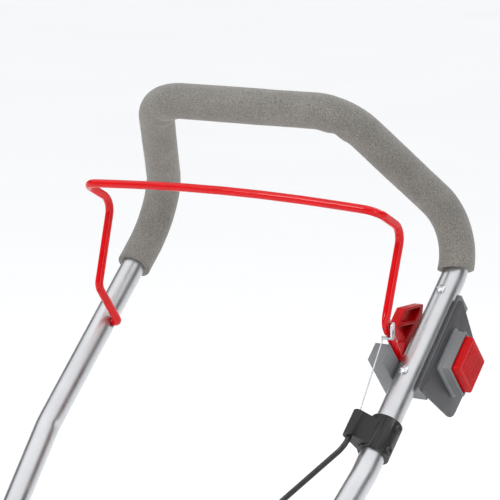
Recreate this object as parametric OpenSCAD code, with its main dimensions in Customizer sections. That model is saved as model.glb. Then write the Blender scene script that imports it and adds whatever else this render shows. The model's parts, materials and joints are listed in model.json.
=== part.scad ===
// Battery reel mower: folding tube handle, dead-man bail, motor-driven cylinder deck.
// +Z is up, the mower's front faces -Y, and the switch unit is on the +X tube.

/* [Handle] */
// Angle of the handle tubes above the ground
handle_angle = 42; // [38:0.5:46]
// Outside diameter of the handle tubes
tube_d = 25; // [24:0.5:26]
// Wall thickness of the handle tubes
tube_wall = 1.6; // [1.2:0.1:2]
// Distance from the middle to each upper tube
handle_half = 184; // [180:1:188]
// Distance along the handle from the deck pivot to the bail pivot
handle_len = 860; // [840:5:880]
// Distance from the bail pivot down to the fold bolts
fold_down = 470; // [460:5:490]
// Distance from the middle to each upper tube at the fold
fold_half = 150; // [148:1:152]
// Outside diameter of the foam grip
foam_d = 36; // [34:1:40]

/* [Bail] */
// Diameter of the bail rod
bail_d = 8.5; // [8:0.5:9]
// Distance from the middle to each arm of the bail
bail_half = 165.5; // [164:0.5:166]

/* [Switch unit] */
// Width of the square start button
button_w = 40; // [38:1:42]
// Outside width of the square bezel
bezel_w = 47; // [46:1:50]
// Height of the button axis along the tube, from the bail pivot
button_u = 26; // [24:1:28]
// Depth of the button axis behind the tube's middle
button_v = 33; // [32:1:36]

/* [Deck] */
// Diameter of the wheels
wheel_d = 230; // [225:1:235]
// Width of each wheel
wheel_w = 44; // [40:1:46]
// Distance from the middle to the inside of each side plate
plate_in = 212; // [210:1:214]
// Thickness of the side plates
plate_t = 4; // [3:0.5:5]
// Diameter of the reel over its blades
reel_d = 130; // [126:1:130]
// Length of the reel blades
reel_len = 360; // [340:2:364]
// Diameter of the rear roller
roller_d = 50; // [46:1:50]

/* [Hidden] */
$fn = 48;

// Positions of the deck's axes
axle_y = -348.1;
pivot_y = axle_y + 59.6;
pivot_z = 165;
axle_z = wheel_d / 2;
reel_y = axle_y + 12;
reel_z = 93;
motor_y = axle_y - 17.4;
motor_z = 203;
arm_y = axle_y + 70.6;
arm_z = 72;
roller_y = axle_y + 148.6;
roller_z = roller_d / 2;
stop_u = 60;

// The handle's own directions: up the tube, and square to it towards the front
u_dir = [0, cos(handle_angle), sin(handle_angle)];
n_dir = [0, -sin(handle_angle), cos(handle_angle)];
bail_pivot = [0, pivot_y, pivot_z] + handle_len * u_dir;
tube_r = tube_d / 2;
bail_r = bail_d / 2;
function on_handle(x, u, n) = bail_pivot + [x, 0, 0] + u * u_dir + n * n_dir;

// Draws children in the handle's frame: x across, y up the tube, z towards the front
module handle_frame(x = 0, u = 0, n = 0)
    translate(on_handle(x, u, n)) rotate([handle_angle, 0, 0]) children();

// ---- route and sweep functions ----
function unit(v) = v / norm(v);
function square_to(s, t) = unit(s - t * (s * t));
// Points of the bend of radius r at corner b, from fraction f0 of it to fraction f1
function arc_at(a, b, c, r, n, f0 = 0, f1 = 1) =
    let (p = unit(a - b), q = unit(c - b), ang = acos(p * q),
         mid = b + unit(p + q) * r / sin(ang / 2),
         e1 = unit(b + p * r / tan(ang / 2) - mid),
         e2 = square_to(b + q * r / tan(ang / 2) - mid, e1))
    [for (i = [0 : n]) let (t = (180 - ang) * (f0 + (f1 - f0) * i / n))
        mid + r * (e1 * cos(t) + e2 * sin(t))];
// corners is a list of [point, bend radius, steps]; the ends have radius 0
function route(corners) = [for (i = [0 : len(corners) - 1])
    each (corners[i][1] == 0 ? [corners[i][0]]
        : arc_at(corners[i - 1][0], corners[i][0], corners[i + 1][0],
            corners[i][1], corners[i][2]))];
function tangents(p) = [for (i = [0 : len(p) - 1])
    unit((i < len(p) - 1 ? unit(p[i + 1] - p[i]) : [0, 0, 0])
        + (i > 0 ? unit(p[i] - p[i - 1]) : [0, 0, 0]))];
function side_list(t, first) = [for (i = 0, s = square_to(first, t[0]); i < len(t);
    i = i + 1, s = i < len(t) ? square_to(s, t[i]) : s) s];
function ring_points(p, t, s, r, m) = [for (i = [0 : len(p) - 1], k = [0 : m - 1])
    p[i] + r * (s[i] * cos(360 * k / m) + cross(t[i], s[i]) * sin(360 * k / m))];
function skin(n, m, base, out) = [for (i = [0 : n - 2], k = [0 : m - 1])
    let (a = base + i * m + k, b = base + i * m + (k + 1) % m, c = b + m, d = a + m)
    each (out ? [[a, c, b], [a, d, c]] : [[a, b, c], [a, c, d]])];

// A solid rod along a path
module rod(p, r, m, first) {
    t = tangents(p);
    s = side_list(t, first);
    n = len(p);
    polyhedron(ring_points(p, t, s, r, m), concat(skin(n, m, 0, true),
        [[for (k = [0 : m - 1]) k]],
        [[for (k = [m - 1 : -1 : 0]) (n - 1) * m + k]]), convexity = 6);
}

// A hollow pipe along a path, from one polyhedron
module pipe(p, r_out, r_in, m, first) {
    t = tangents(p);
    s = side_list(t, first);
    n = len(p);
    h = n * m;
    polyhedron(concat(ring_points(p, t, s, r_out, m), ring_points(p, t, s, r_in, m)),
        concat(skin(n, m, 0, true), skin(n, m, h, false),
        [for (k = [0 : m - 1]) let (j = (k + 1) % m) each [[k, j, h + j], [k, h + j, h + k]]],
        [for (k = [0 : m - 1]) let (j = (k + 1) % m, e = h - m)
            each [[e + k, h + e + j, e + j], [e + k, h + e + k, h + e + j]]]),
        convexity = 8);
}

// An outline with rounded corners, from a list of [x, y, radius]
function round_outline(c, n = 5) = [for (i = [0 : len(c) - 1])
    let (a = c[(i + len(c) - 1) % len(c)], b = c[i], d = c[(i + 1) % len(c)])
    each (b[2] == 0 ? [[b[0], b[1]]] : [for (q = arc_at([a[0], a[1], 0], [b[0], b[1], 0],
        [d[0], d[1], 0], b[2], n)) [q[0], q[1]]])];
function rect_outline(w, h, r) = round_outline([[-w / 2, -h / 2, r], [w / 2, -h / 2, r],
    [w / 2, h / 2, r], [-w / 2, h / 2, r]]);

// A round bar along X from x0 to x1
module x_bar(x0, x1, y, z, r)
    translate([min(x0, x1), y, z]) rotate([0, 90, 0]) cylinder(r = r, h = abs(x1 - x0));
module x_ring(x0, x1, y, z, r_out, r_in) difference() {
    x_bar(x0, x1, y, z, r_out);
    x_bar(min(x0, x1) - 1, max(x0, x1) + 1, y, z, r_in);
}
module box_at(x0, x1, y0, y1, z0, z1)
    translate([x0, y0, z0]) cube([x1 - x0, y1 - y0, z1 - z0]);
module both() {
    children();
    mirror([1, 0, 0]) children();
}

// ---- upper handle ----
bend_u = -136;
top_u = 160;
grip_half = 109.6;
grip_u = 150;
grip_n = 185.6;
foam_u_left = 74;
foam_bend_part = 0.14;
taper_end_u = -fold_down + 40;

function tube_side(s) = [[on_handle(s * fold_half, -fold_down - 28, 0), 0, 0],
    [on_handle(s * fold_half, taper_end_u, 0), 110, 3],
    [on_handle(s * handle_half, bend_u, 0), 110, 3]];
function top_loop(s) = [[on_handle(s * handle_half, top_u, 0), 57, 9],
    [on_handle(s * grip_half, grip_u, grip_n), 48, 8]];
function turned(list) = [for (i = [len(list) - 1 : -1 : 0]) list[i]];
function all_but_last(list) = [for (i = [0 : len(list) - 2]) list[i]];

module handle_tube() color([0.72, 0.73, 0.75]) difference() {
    pipe(route(concat(tube_side(-1), top_loop(-1), turned(top_loop(1)),
        turned(tube_side(1)))), tube_r, tube_r - tube_wall, 16, [1, 0, 0]);
    for (s = [-1, 1]) {
        // Holes for the bail's pivot pins, in the inner walls only
        handle_frame(s * (handle_half - 8), 0, 0) rotate([0, -90 * s, 0])
            cylinder(r = pin_r + 0.06, h = 30);
        handle_frame(s * fold_half, -fold_down, 0) rotate([0, 90, 0])
            cylinder(r = bolt_r + 0.08, h = 40, center = true);
    }
    for (u = switch_screw_u) handle_frame(handle_half, u, 0)
        cylinder(r = 2.3, h = 40, center = true);
}

// The foam ends on the straight at the left, and a little way into the bend at the right
module foam_grip() color([0.53, 0.52, 0.49])
    pipe(concat(all_but_last(route(concat([[on_handle(-handle_half, foam_u_left, 0), 0, 0]],
        top_loop(-1), [top_loop(1)[1], [top_loop(1)[0][0], 0, 0]]))),
        arc_at(top_loop(1)[1][0], top_loop(1)[0][0], on_handle(handle_half, 0, 0),
        57, 8, 0, 1 - foam_bend_part)),
        foam_d / 2, tube_r + 0.4, 16, [1, 0, 0]);

// ---- bail ----
pin_r = 4;
elbow = [5.2, 53.2];
arm_top = [83, 99];
front_bar = [63, 149];
bar_bow = 6.5;
eye_u = 6.4;
eye_n = 46.5;
eye_x = bail_half + 3;
// The arms splay outwards from the pivots, and the front bar is bowed
function bail_side(s) = [[on_handle(s * (bail_half + 2.5), elbow[0], elbow[1]), 12, 5],
    [on_handle(s * (bail_half + 4.5), arm_top[0], arm_top[1]), 18, 6],
    [on_handle(s * (bail_half + 4), front_bar[0], front_bar[1]), 16, 6]];
function bar_points() = [for (k = [-3 : 3]) [on_handle(k * 44, front_bar[0]
    + bar_bow * 0.4 * (1 - k * k / 14), front_bar[1] + bar_bow * 0.9 * (1 - k * k / 14)), 0, 0]];

module bail() color([0.80, 0.05, 0.06]) {
    difference() {
        union() {
            rod(route(concat(
                [[on_handle(-bail_half - 5, 0, 0), 0, 0], [on_handle(-bail_half, 0, 0), 4.5, 4]],
                bail_side(-1), bar_points(), turned(bail_side(1)),
                [[on_handle(bail_half, 0, 0), 4.5, 4], [on_handle(bail_half + 5, 0, 0), 0, 0]])),
                bail_r, 12, [0, 1, 0]);
            // The flattened elbow that carries the eye
            handle_frame(eye_x, eye_u, eye_n) rotate([0, 90, 0])
                cylinder(r = 7.5, h = 4.4, center = true);
        }
        handle_frame(eye_x, eye_u, eye_n) rotate([0, 90, 0])
            cylinder(r = 2.6, h = 12, center = true);
    }
    for (s = [-1, 1]) handle_frame(s * (bail_half + 3), 0, 0) rotate([0, 90 * s, 0])
        cylinder(r = pin_r, h = 10);
}

// A flat steel link through the bail's eye, with a leg down to the wire
module cable_hook() color([0.78, 0.80, 0.82]) {
    handle_frame(eye_x - 3.6, eye_u, eye_n) rotate([0, 90, 0]) cylinder(r = 2.2, h = 9);
    handle_frame(wire_x - 1.5, eye_u - 10, eye_n - 8) rotate([0, 90, 0])
        cylinder(r = 1.6, h = eye_x + 5.4 - wire_x + 1.5);
    handle_frame(eye_x + 4.6, 0, 0) rotate([90, 0, 90])
        linear_extrude(1.6) polygon(round_outline([[eye_u - 2.5, eye_n + 4.5, 2],
        [eye_u - 12.5, eye_n - 8, 2], [eye_u - 8, eye_n - 11, 2], [eye_u + 4, eye_n + 2, 2]], 3));
}

// ---- clutch cable ----
wire_x = 164;
block_x = 166;
block_n = 23;
block_u = -96;
sheath_r = 2.7;

module pull_wire() color([0.7, 0.7, 0.72])
    rod([on_handle(wire_x, eye_u - 11.8, eye_n - 8.3),
        on_handle(block_x, block_u + 14.4, block_n)], 0.7, 8, [1, 0, 0]);

module cable_clamp() color([0.10, 0.10, 0.10]) difference() {
    union() {
        handle_frame(handle_half, block_u - 16, 0) rotate([-90, 0, 0]) cylinder(r = 16, h = 37);
        handle_frame(block_x, block_u - 14, block_n) rotate([-90, 0, 0])
            cylinder(r = 6.5, h = 28);
        // The web from the collar to the cable block, and the screw flange
        handle_frame(0, block_u - 14, 0) translate([0, 28, 0]) rotate([90, 0, 0])
            linear_extrude(28) polygon([[block_x - 4, block_n - 5], [block_x + 5, block_n + 4],
            [handle_half + 2, 14.5], [handle_half - 14, -6]]);
        for (u = clamp_screw_u) handle_frame(handle_half, u, 0)
            rotate([0, 90 - clamp_screw_turn, 0]) cylinder(r = 5.5, h = 17);
    }
    handle_frame(handle_half, 0, 0) rotate([90, 0, 0]) cylinder(r = tube_r + 0.02, h = 400,
        center = true);
    handle_frame(block_x, block_u, block_n) rotate([90, 0, 0]) cylinder(r = 1.6, h = 60,
        center = true);
    handle_frame(block_x, block_u - 17, block_n) rotate([-90, 0, 0])
        cylinder(r = sheath_r + 0.1, h = 13);
}

clamp_screw_u = [-82, -107];
clamp_screw_turn = 15;
module clamp_screws() color([0.16, 0.16, 0.17]) for (u = clamp_screw_u)
    handle_frame(handle_half, u, 0) rotate([0, 90 - clamp_screw_turn, 0]) difference() {
        translate([0, 0, 17]) cylinder(r1 = 4.2, r2 = 3, h = 2.4);
        translate([0, 0, 18.4]) cylinder(r = 1.5, h = 3, $fn = 6);
    }

function cable_upper() = route([[on_handle(block_x, block_u - 5, block_n), 0, 0],
    [on_handle(block_x, -121, block_n), 22, 4], [on_handle(106, -184, -4), 60, 4],
    [on_handle(60, -320, 18), 90, 5], [on_handle(60, -540, 18), 0, 0]]);
function cable_lower() = route([[on_handle(60, -540, 18), 0, 0],
    [on_handle(60, -640, 18), 60, 4], [[60, motor_y, motor_z + 98], 40, 6],
    [[60, motor_y, motor_z + 37], 0, 0]]);
module bowden_upper() color([0.07, 0.07, 0.07]) rod(cable_upper(), sheath_r, 8, [1, 0, 0]);
module bowden_lower() color([0.07, 0.07, 0.07]) rod(cable_lower(), sheath_r, 8, [1, 0, 0]);

// ---- switch unit on the right tube ----
plate_x = 200;
bezel_top = 217;
button_top = 225;
button_travel = 6;
switch_screw_u = [-20.3, 79.7];
plunger_r = 5;

module switch_housing() color([0.42, 0.43, 0.44]) difference() {
    union() {
        handle_frame(173, -27, -24) cube([26.5, 113, 21]);
        handle_frame(184, 0, -68) cube([16, 54, 46]);
        // The arm that carries the bail's rest stop on the inner side
        handle_frame(153, -25.4, -26) cube([24, 20.6, 11]);
        handle_frame(153, -25.4, -26) cube([16, 20.6, 56]);
        handle_frame(160, button_u, -button_v) rotate([0, 90, 0]) cylinder(r = 10, h = 25);
    }
    handle_frame(handle_half, 0, 0) rotate([90, 0, 0]) cylinder(r = tube_r + 0.02, h = 400,
        center = true);
    handle_frame(187, 3, -65) cube([14, 48, 46]);
    handle_frame(150, button_u, -button_v) rotate([0, 90, 0])
        cylinder(r = plunger_r + 0.08, h = 60);
    for (u = switch_screw_u) handle_frame(handle_half, u, -30) cylinder(r = 2.2, h = 60);
}

function plate_outline() = round_outline([[-32, 0, 4], [81, 0, 4], [64, -79, 12], [-12, -76.5, 12]]);
module switch_plate() color([0.23, 0.23, 0.25]) difference() {
    handle_frame(plate_x, 0, 0) rotate([90, 0, 90]) linear_extrude(3.5) polygon(plate_outline());
    handle_frame(plate_x - 1, button_u, -button_v) rotate([0, 90, 0])
        cylinder(r = plunger_r + 0.3, h = 6);
}

module button_bezel() color([0.45, 0.46, 0.47]) difference() {
    union() {
        handle_frame(plate_x + 3.5, button_u, -button_v) rotate([90, 0, 90])
            linear_extrude(6.5) polygon(rect_outline(bezel_w + 3, bezel_w + 3, 2));
        handle_frame(plate_x + 10, button_u, -button_v) rotate([90, 0, 90])
            linear_extrude(bezel_top - plate_x - 10) polygon(rect_outline(bezel_w, bezel_w, 2));
    }
    handle_frame(plate_x + 3, button_u, -button_v) rotate([90, 0, 90])
        linear_extrude(20) polygon(rect_outline(button_w + 0.8, button_w + 0.8, 1.5));
}

module switch_screws() color([0.8, 0.82, 0.84]) for (u = switch_screw_u)
    handle_frame(handle_half, u, tube_r) difference() {
        union() {
            intersection() {
                translate([0, 0, -5]) sphere(r = 8);
                cylinder(r = 4.8, h = 4);
            }
            translate([0, 0, -32]) cylinder(r = 2.1, h = 32.5);
        }
        translate([-3, -0.5, 1.6]) cube([6, 1, 3]);
        translate([-0.5, -3, 1.6]) cube([1, 6, 3]);
    }

module button_spring() color([0.75, 0.76, 0.78])
    rod([for (i = [0 : 42]) on_handle(plate_x + 4.4 + 7.0 * i / 42,
        button_u + 9 * cos(360 * i / 14), 9 * sin(360 * i / 14) - button_v)], 0.6, 6, [1, 0, 0]);

module start_button() color([0.82, 0.06, 0.06]) {
    handle_frame(bezel_top - 4.8, button_u, -button_v) rotate([90, 0, 90]) difference() {
        linear_extrude(button_top - bezel_top + 4.8) polygon(rect_outline(button_w, button_w, 1.2));
        // Grip grooves across the face
        for (k = [-6 : 6]) translate([-15, k * 2.4 - 0.35, button_top - bezel_top + 4.3])
            cube([30, 0.7, 2]);
    }
}

module lock_plunger() color([0.30, 0.31, 0.32])
    handle_frame(wedge_x, button_u, -button_v) rotate([0, 90, 0])
        cylinder(r = plunger_r, h = bezel_top - 4.8 - wedge_x);

wedge_x = 156.4;
wedge_t = 10;
module lock_wedge() color([0.78, 0.05, 0.05]) difference() {
    union() {
        handle_frame(wedge_x - wedge_t, 0, 0) rotate([90, 0, 90]) linear_extrude(wedge_t)
            polygon([[30, 12], [52, 12], [78, -14], [44, -42], [17, -42], [17, -18], [30, -15]]);
    }
    // Triangular pockets on the tube side, either side of a slanted rib
    handle_frame(wedge_x - 6, 0, 0) rotate([90, 0, 90]) linear_extrude(8) {
        polygon([[32.5, 8], [32.5, -13], [52, -13]]);
        polygon([[36.5, 9.5], [51, 9.5], [71, -10], [70, -13], [56.5, -13]]);
    }
}

// ---- fold and lower handle ----
bolt_r = 4;
lower_half = fold_half - tube_d - 3;
lower_top = 30;
knuckle_u = 24;

module lower_tube(s) difference() {
    handle_frame(s * lower_half, -handle_len + knuckle_u, 0) rotate([-90, 0, 0]) difference() {
        cylinder(r = tube_r, h = handle_len - fold_down - knuckle_u + lower_top);
        translate([0, 0, -1]) cylinder(r = tube_r - tube_wall, h = handle_len);
    }
    handle_frame(s * lower_half, -fold_down, 0) rotate([0, 90, 0])
        cylinder(r = bolt_r + 0.02, h = 40, center = true);
}
module lower_tubes() color([0.72, 0.73, 0.75]) for (s = [-1, 1]) lower_tube(s);

module fold_saddles() color([0.12, 0.12, 0.13]) both() difference() {
    union() {
        handle_frame(lower_half, -fold_down, 0) rotate([0, 90, 0]) cylinder(r = 17, h = tube_r + 2.6);
        // The cap that closes the lower tube's end
        handle_frame(lower_half, -fold_down + lower_top + 0.02, 0) rotate([-90, 0, 0])
            cylinder(r = tube_r, h = 3);
    }
    handle_frame(lower_half, -fold_down - 60, 0) rotate([-90, 0, 0])
        cylinder(r = tube_r + 0.02, h = 60 + lower_top);
    handle_frame(lower_half, -fold_down, 0) rotate([0, 90, 0]) cylinder(r = bolt_r + 0.02, h = 60);
}

module fold_bolts() color([0.75, 0.76, 0.78]) both()
    handle_frame(lower_half - tube_r - 5, -fold_down, 0) rotate([0, 90, 0]) {
        cylinder(r = bolt_r, h = 70);
        cylinder(r = 7.5, h = 4.6, $fn = 6);
    }

module fold_knob(s) color([0.12, 0.12, 0.13]) handle_frame(s * (fold_half + tube_r + 0.4),
    -fold_down, 0) rotate([0, 90 * s, 0]) difference() {
    union() {
        cylinder(r = 13, h = 10);
        cylinder(r = 9, h = 20);
        // Four wings to grip
        for (a = [0 : 90 : 270]) rotate([0, 0, a]) translate([4, -3.5, 4]) cube([19, 7, 12]);
    }
    translate([0, 0, -1]) cylinder(r = bolt_r + 0.08, h = 17);
}
module fold_knob_left() fold_knob(-1);
module fold_knob_right() fold_knob(1);

module handle_brace() color([0.72, 0.73, 0.75]) difference() {
    handle_frame(-lower_half, -560, 0) rotate([0, 90, 0]) cylinder(r = 8, h = 2 * lower_half);
    handle_frame(-lower_half - 1, -560, 0) rotate([0, 90, 0])
        cylinder(r = 6.5, h = 2 * lower_half + 2);
    both() handle_frame(lower_half, -700, 0) rotate([-90, 0, 0]) cylinder(r = tube_r + 0.02, h = 300);
}

module brace_clip() color([0.10, 0.10, 0.10]) difference() {
    union() {
        handle_frame(54, -560, 0) rotate([0, 90, 0]) cylinder(r = 11, h = 12);
        handle_frame(54, -566, 6) cube([12, 12, 17]);
    }
    handle_frame(50, -560, 0) rotate([0, 90, 0]) cylinder(r = 8.02, h = 20);
    handle_frame(60, -590, 18) rotate([-90, 0, 0]) cylinder(r = sheath_r + 0.1, h = 60);
}

module knuckle(s) difference() {
    union() {
        x_bar(s * (lower_half - 16), s * (lower_half + 16), pivot_y, pivot_z, 20);
        handle_frame(s * lower_half, -handle_len, 0) rotate([-90, 0, 0]) cylinder(r = 16, h = 80);
    }
    x_bar(s * (lower_half - 20), s * (lower_half + 20), pivot_y, pivot_z, cross_r + 0.08);
    handle_frame(s * lower_half, -handle_len + knuckle_u - 0.02, 0) rotate([-90, 0, 0])
        cylinder(r = tube_r + 0.02, h = 80);
}
module knuckles() color([0.12, 0.12, 0.13]) for (s = [-1, 1]) knuckle(s);

// ---- deck frame ----
cross_r = 12;
stop_r = 6;
stop_pos = [0, pivot_y, pivot_z] + (stop_u + 8) * u_dir - (16 + stop_r + 0.4) * n_dir;
tie = [axle_y - 62, 60];
catcher = [stop_pos[1], stop_pos[2] - 28];
bed = [reel_y + 52, 38];

module side_plate(s) color([0.15, 0.15, 0.16]) difference() {
    translate([s > 0 ? plate_in : -plate_in - plate_t, 0, 0]) rotate([90, 0, 90])
        linear_extrude(plate_t) polygon(round_outline([[axle_y - 78, 45, 14],
        [axle_y - 84, 150, 40], [axle_y - 30, 232, 24], [pivot_y - 6, 226, 10],
        [stop_pos[1] + 14, stop_pos[2] + 12, 12], [stop_pos[1] + 14, stop_pos[2] - 30, 14],
        [arm_y + 34, 60, 14], [arm_y + 20, 26, 10], [reel_y, 24, 30]]));
    for (a = [[axle_y, axle_z, 6.02], [pivot_y, pivot_z, cross_r + 0.02],
        [stop_pos[1], stop_pos[2], 3.02], [tie[0], tie[1], 3.02],
        [catcher[0], catcher[1], 3.02], [reel_y, reel_z, 11.02],
        [arm_y, arm_z, 5.02]])
        x_bar(s * (plate_in - 2), s * (plate_in + plate_t + 2), a[0], a[1], a[2]);
}
module side_plate_left() side_plate(-1);
module side_plate_right() side_plate(1);

module rear_cross_tube() color([0.72, 0.73, 0.75])
    x_ring(-plate_in - plate_t, plate_in + plate_t, pivot_y, pivot_z, cross_r, cross_r - 2);
module handle_stop_bar() color([0.30, 0.30, 0.31]) {
    x_bar(-plate_in, plate_in, stop_pos[1], stop_pos[2], stop_r);
    x_bar(-plate_in - plate_t, plate_in + plate_t, stop_pos[1], stop_pos[2], 3);
}
module front_tie_rod() color([0.30, 0.30, 0.31]) {
    x_bar(-plate_in, plate_in, tie[0], tie[1], 5);
    x_bar(-plate_in - plate_t, plate_in + plate_t, tie[0], tie[1], 3);
}

// Pegs on the outside of the plates, where a grass catcher hangs
module catcher_pins() color([0.75, 0.76, 0.78]) both() {
    x_bar(plate_in + plate_t, plate_in + plate_t + 16, catcher[0], catcher[1], 5);
    x_bar(plate_in, plate_in + plate_t, catcher[0], catcher[1], 3);
}

// Hex heads on the ends of the rods, on the outside of both plates
module frame_bolts() color([0.75, 0.76, 0.78]) both()
    for (a = [stop_pos, [0, tie[0], tie[1]]]) difference() {
        translate([plate_in + plate_t, a[1], a[2]]) rotate([0, 90, 0]) cylinder(r = 7, h = 5, $fn = 6);
        x_bar(plate_in, plate_in + plate_t + 6, a[1], a[2], 2);
    }

module hood() color([0.72, 0.05, 0.05]) difference() {
    union() {
        difference() {
            x_bar(-184, plate_in - 0.02, reel_y, reel_z, reel_d / 2 + 13);
            x_bar(-186, plate_in + 2, reel_y, reel_z, reel_d / 2 + 10);
            box_at(-190, 220, reel_y - 200, reel_y + 200, -20, 70);
            box_at(-190, 220, reel_y + 10, reel_y + 200, 0, 300);
        }
        box_at(-184, plate_in - 0.02, reel_y - 92, reel_y - 70, 70, 73);
    }
    box_at(-190, 220, reel_y - 74.5, reel_y + 60, 60, 73);
}

module bed_bar() color([0.15, 0.15, 0.16]) difference() {
    box_at(-plate_in + 0.02, plate_in - 0.02, bed[0], bed[0] + 20, 30, 44);
    for (x = [-160 : 80 : 160]) translate([x, bed[0] + 10, 20]) cylinder(r = 2.6, h = 20);
}
module bed_knife() color([0.62, 0.63, 0.65]) difference() {
    box_at(-182, 182, reel_y + 18, bed[0] + 19, 27.4, 30);
    for (x = [-160 : 80 : 160]) translate([x, bed[0] + 10, 20]) cylinder(r = 2.8, h = 20);
}
module knife_screws() color([0.75, 0.76, 0.78]) for (x = [-160 : 80 : 160])
    translate([x, bed[0] + 10, 23.4]) {
        cylinder(r = 5, h = 4);
        cylinder(r = 2.5, h = 14);
    }

// ---- motor and drive ----
house_y0 = axle_y - 62;
house_y1 = pivot_y - 26;
house_z0 = reel_z + reel_d / 2 + 13.2;
house_z1 = 230;
belt_x = -198;
module housing_block(grow, z0, z1) translate([0, (house_y0 + house_y1) / 2, z0])
    linear_extrude(z1 - z0) polygon(rect_outline(330 + grow, house_y1 - house_y0 + grow, 14 + grow / 2));

module motor_housing() color([0.13, 0.13, 0.14]) difference() {
    housing_block(0, house_z0, house_z1);
    housing_block(-6, house_z0 + 3, house_z1 + 1);
    x_bar(-170, -150, motor_y, motor_z, 4);
}
module motor_cover() color([0.70, 0.05, 0.05]) difference() {
    union() {
        housing_block(4, house_z1, house_z1 + 4);
        housing_block(-8, house_z1 + 4, house_z1 + 9);
    }
    // The well that the battery sits in, open at the back
    box_at(-41, 41, house_y0 + 14, house_y1 + 10, house_z1 + 3, house_z1 + 20);
    translate([60, motor_y, house_z1 - 1]) cylinder(r = 5.02, h = 12);
}
module cable_gland() color([0.10, 0.10, 0.10]) translate([60, motor_y, house_z1 - 1.5]) difference() {
    union() {
        cylinder(r = 5, h = 14);
        translate([0, 0, 10.6]) cylinder(r = 8, h = 3, $fn = 6);
    }
    translate([0, 0, -1]) cylinder(r = sheath_r + 0.1, h = 20);
}
module motor() color([0.55, 0.56, 0.58]) {
    x_ring(-160, -62, motor_y, motor_z, 24, 10);
    x_ring(-159.9, -150, motor_y, motor_z, 10.02, 3.06);
    x_ring(-72, -62.1, motor_y, motor_z, 10.02, 3.06);
}
module motor_shaft() color([0.75, 0.76, 0.78]) {
    x_bar(-205, -60, motor_y, motor_z, 3);
    x_bar(-148, -76, motor_y, motor_z, 9);
}

small_r = 12;
big_r = 34;
// The outline of a belt around both pulleys, grown outwards by g
function belt_outline(g) =
    let (d = [reel_y - motor_y, reel_z - motor_z], a = atan2(d[1], d[0]),
         lean = asin((big_r - small_r) / norm(d)))
    concat([for (i = [0 : 20]) let (t = a - 90 - lean + (180 + 2 * lean) * i / 20)
        [reel_y + (big_r + g) * cos(t), reel_z + (big_r + g) * sin(t)]],
        [for (i = [0 : 12]) let (t = a + 90 + lean + (180 - 2 * lean) * i / 12)
        [motor_y + (small_r + g) * cos(t), motor_z + (small_r + g) * sin(t)]]);
module belt_slab(x0, x1, g) translate([x0, 0, 0]) rotate([90, 0, 90])
    linear_extrude(x1 - x0) polygon(belt_outline(g));
module drive_belt() color([0.07, 0.07, 0.07]) difference() {
    belt_slab(belt_x - 5, belt_x + 5, 2.6);
    belt_slab(belt_x - 6, belt_x + 6, 0.4);
}
module belt_cover() color([0.13, 0.13, 0.14]) difference() {
    belt_slab(-208, -186, 9);
    belt_slab(-210, -188.5, 6.5);
    x_bar(-190, -180, reel_y, reel_z, 16);
    x_bar(-190, -180, motor_y, motor_z, 8);
}
module grooved_pulley(r, bore, y, z) difference() {
    union() {
        x_bar(belt_x - 5, belt_x + 5, y, z, r);
        x_bar(belt_x + 5.4, belt_x + 7, y, z, r + 3);
        x_bar(belt_x + 4.5, belt_x + 8, y, z, bore + 4);
    }
    x_bar(belt_x - 20, belt_x + 20, y, z, bore);
    for (a = [0 : 15 : 345]) translate([belt_x - 8, y + r * cos(a), z + r * sin(a)])
        rotate([0, 90, 0]) cylinder(r = 0.9, h = 13.4, $fn = 4);
}
module motor_pulley() color([0.6, 0.6, 0.62]) grooved_pulley(small_r, 3.06, motor_y, motor_z);
module reel_pulley() color([0.6, 0.6, 0.62]) grooved_pulley(big_r, 6.02, reel_y, reel_z);

// ---- reel ----
blade_count = 5;
blade_twist = 60;
module reel_shaft() color([0.62, 0.63, 0.65]) {
    x_bar(-plate_in - 1, plate_in + 1, reel_y, reel_z, 6);
}
module reel_bearings() color([0.62, 0.63, 0.65]) both() difference() {
    union() {
        x_bar(plate_in - 3, plate_in + plate_t, reel_y, reel_z, 11);
        x_bar(plate_in - 3, plate_in - 0.1, reel_y, reel_z, 14);
    }
    x_bar(plate_in - 5, plate_in + 2, reel_y, reel_z, 6.06);
}
// One helical blade, as a flat strip carried around the reel
module blade(start) {
    steps = 24;
    pts = [for (i = [0 : steps]) let (a = start + blade_twist * i / steps,
        x = -reel_len / 2 + reel_len * i / steps, back = a - 5)
        each [[x, reel_y + reel_d / 2 * cos(a), reel_z + reel_d / 2 * sin(a)],
        [x, reel_y + 44 * cos(a + 5), reel_z + 44 * sin(a + 5)],
        [x, reel_y + 44 * cos(a + 1.5), reel_z + 44 * sin(a + 1.5)],
        [x, reel_y + reel_d / 2 * cos(a - 2), reel_z + reel_d / 2 * sin(a - 2)]]];
    polyhedron(pts, concat(skin(steps + 1, 4, 0, false), [[3, 2, 1, 0]],
        [[for (k = [0 : 3]) steps * 4 + k]]), convexity = 6);
}
module reel_blades() color([0.62, 0.63, 0.65]) for (k = [0 : blade_count - 1])
    blade(20 + k * 360 / blade_count);
spider_x = [-150, -50, 50, 150];
module reel_spiders() color([0.15, 0.15, 0.16]) difference() {
    for (x = spider_x) {
        x_bar(x - 8, x + 8, reel_y, reel_z, 12);
        x_bar(x - 2, x + 2, reel_y, reel_z, 43.5);
    }
    x_bar(-200, 200, reel_y, reel_z, 6.02);
    for (x = spider_x, k = [0 : blade_count - 1]) let (a = 20 + 36 + k * 360 / blade_count
        + blade_twist * (x + reel_len / 2) / reel_len)
        translate([x - 4, reel_y + 42 * cos(a), reel_z + 42 * sin(a)])
        rotate([0, 90, 0]) cylinder(r = 17, h = 8);
}

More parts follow.
